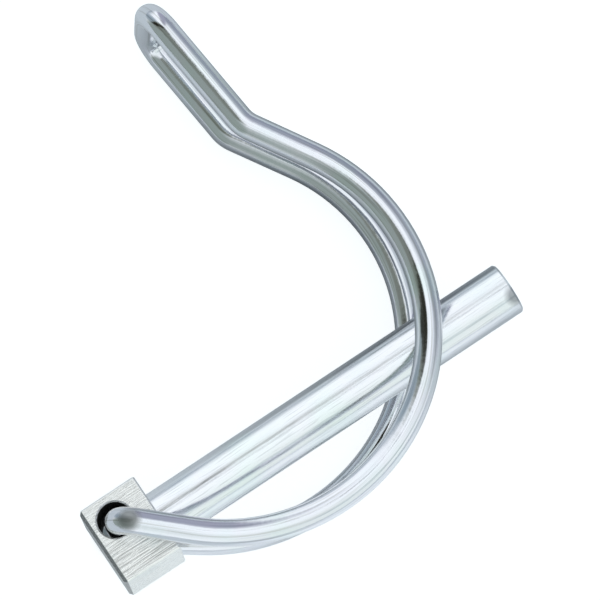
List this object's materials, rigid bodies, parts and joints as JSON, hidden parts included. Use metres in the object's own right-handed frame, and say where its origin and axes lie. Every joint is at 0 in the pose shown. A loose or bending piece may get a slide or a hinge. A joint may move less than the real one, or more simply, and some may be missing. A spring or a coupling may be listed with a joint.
{
  "type": "tube lock pin",
  "caption": "Square-headed steel lock pin with a hinged wire bail whose arch wraps a tube and whose looped finger swings over the pin's tip.",
  "frame": {"origin": "on the shank's axis, in the plane of the head's shoulder", "axes": "+X along the shank to the tip, +Y to the bail's finger, +Z along the bail's hinge, up as the part lies"},
  "size_m": [0.07, 0.0792, 0.0227],
  "materials": {
    "pin_steel": "bright zinc plated, drawn bar with fine lines",
    "wire_steel": "bright zinc plated spring wire, smooth"
  },
  "bodies": {
    "pin": {"lock_pin": "pin_steel"},
    "bail": {"wire_bail": "wire_steel"}
  },
  "joints": [
    {"name": "bail_swing", "type": "hinge", "parent": "pin", "child": "bail", "pos_m": [-0.00551, 0.00187, 0], "axis": [0, 0, 1], "continuous": true}
  ]
}
